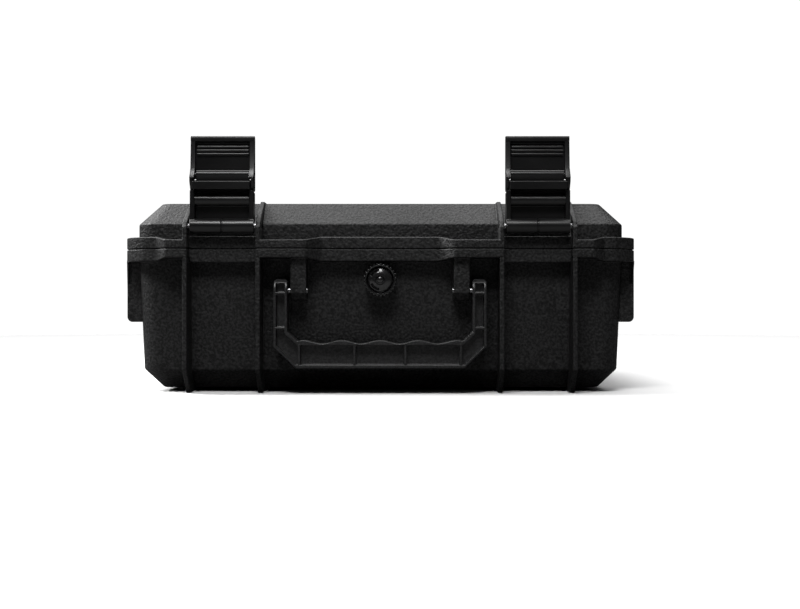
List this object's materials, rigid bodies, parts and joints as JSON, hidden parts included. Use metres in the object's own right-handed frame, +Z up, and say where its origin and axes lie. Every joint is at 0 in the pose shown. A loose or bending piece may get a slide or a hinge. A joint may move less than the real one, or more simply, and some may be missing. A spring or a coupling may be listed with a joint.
{
  "type": "carrying case",
  "caption": "Hard carrying case for a folding drone, with a hinged lid, flip-up latches, a drop handle, a pressure valve and pocketed foam.",
  "frame": {"origin": "on the ground under the middle of the case", "axes": "+X to the right along the front, +Y from the handle and latches back to the hinges, +Z up through the lid"},
  "size_m": [0.34, 0.285, 0.1683],
  "materials": {
    "shell": "fine stippled moulding texture",
    "latch": "satin moulded plastic",
    "handle": "satin moulded plastic",
    "valve": "polished",
    "steel": "ground pins",
    "seal": "smooth",
    "foam": "open-cell foam"
  },
  "bodies": {
    "base": {"base_shell": "shell", "base_rib_left_outer": "shell", "base_rib_left_inner": "shell", "base_rib_right_inner": "shell", "base_rib_right_outer": "shell", "strap_bracket_left": "shell", "strap_bracket_right": "shell", "hinge_pin_left": "steel", "hinge_pin_right": "steel", "handle_pin_left": "steel", "handle_pin_right": "steel", "valve_body": "shell", "valve_seal": "seal", "valve_nut": "shell", "foam_base_pad": "foam", "foam_insert": "foam"},
    "lid": {"lid_shell": "shell", "lid_seal": "seal", "latch_pin_left": "steel", "latch_pin_right": "steel", "foam_lid": "foam"},
    "link_left": {"latch_link_left": "latch", "lever_pin_left": "steel"},
    "link_right": {"latch_link_right": "latch", "lever_pin_right": "steel"},
    "lever_left": {"latch_lever_left": "latch"},
    "lever_right": {"latch_lever_right": "latch"},
    "handle": {"handle": "handle"},
    "valve_knob": {"valve_knob": "valve"}
  },
  "joints": [
    {"name": "lid_hinge", "type": "hinge", "parent": "base", "child": "lid", "pos_m": [0, 0.138, 0.0947], "axis": [-1, 0, 0], "range_deg": [0, 100]},
    {"name": "latch_left", "type": "hinge", "parent": "lid", "child": "link_left", "pos_m": [-0.1028, -0.1365, 0.1093], "axis": [1, 0, 0], "range_deg": [0, 180]},
    {"name": "lever_left", "type": "hinge", "parent": "link_left", "child": "lever_left", "pos_m": [-0.1028, -0.1335, 0.1433], "axis": [-1, 0, 0], "range_deg": [0, 95]},
    {"name": "latch_right", "type": "hinge", "parent": "lid", "child": "link_right", "pos_m": [0.1028, -0.1365, 0.1093], "axis": [1, 0, 0], "range_deg": [0, 180]},
    {"name": "lever_right", "type": "hinge", "parent": "link_right", "child": "lever_right", "pos_m": [0.1028, -0.1335, 0.1433], "axis": [-1, 0, 0], "range_deg": [0, 95]},
    {"name": "handle_hinge", "type": "hinge", "parent": "base", "child": "handle", "pos_m": [0, -0.1333, 0.0673], "axis": [-1, 0, 0], "range_deg": [0, 95]},
    {"name": "valve_turn", "type": "hinge", "parent": "base", "child": "valve_knob", "pos_m": [0, -0.1275, 0.0744], "axis": [0, -1, 0], "range_deg": [0, 360]}
  ]
}
